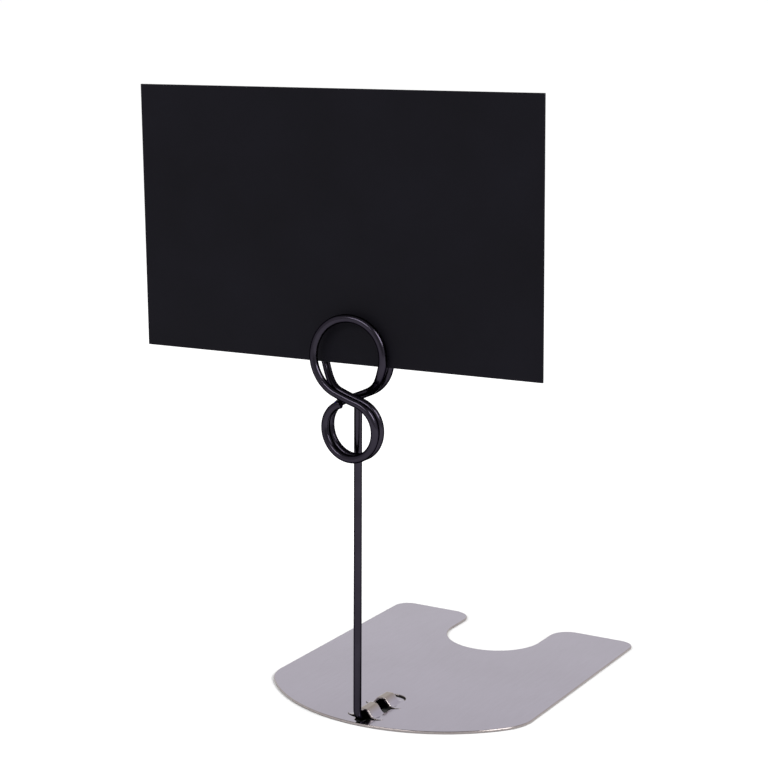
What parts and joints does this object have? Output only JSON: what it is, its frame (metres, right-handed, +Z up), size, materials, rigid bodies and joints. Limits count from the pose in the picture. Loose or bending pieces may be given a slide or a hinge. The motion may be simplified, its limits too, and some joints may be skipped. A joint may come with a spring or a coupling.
{
  "type": "price tag holder",
  "caption": "Free-standing price tag holder: flat steel base with a bowed front and a rear notch, and a black wire coiled into a figure-eight ring clip that pinches a plain card.",
  "frame": {"origin": "middle of the base plate's underside, in the plane that the holder stands on", "axes": "+Z up, -Y to the front, where the card faces, +X to the right as seen from the front"},
  "size_m": [0.1186, 0.1054, 0.1694],
  "materials": {
    "satin_steel": "satin stainless sheet with a fine grain",
    "black_coat": "smooth black coat on steel wire, half gloss",
    "black_card": "plain matte black"
  },
  "bodies": {
    "stand": {"base_plate": "satin_steel", "wire_holder": "black_coat"},
    "card": {"price_card": "black_card"}
  },
  "joints": [
    {"name": "card_lift", "type": "slide", "parent": "stand", "child": "card", "axis": [0, 0, 1], "range_m": [0, 0.02]}
  ]
}
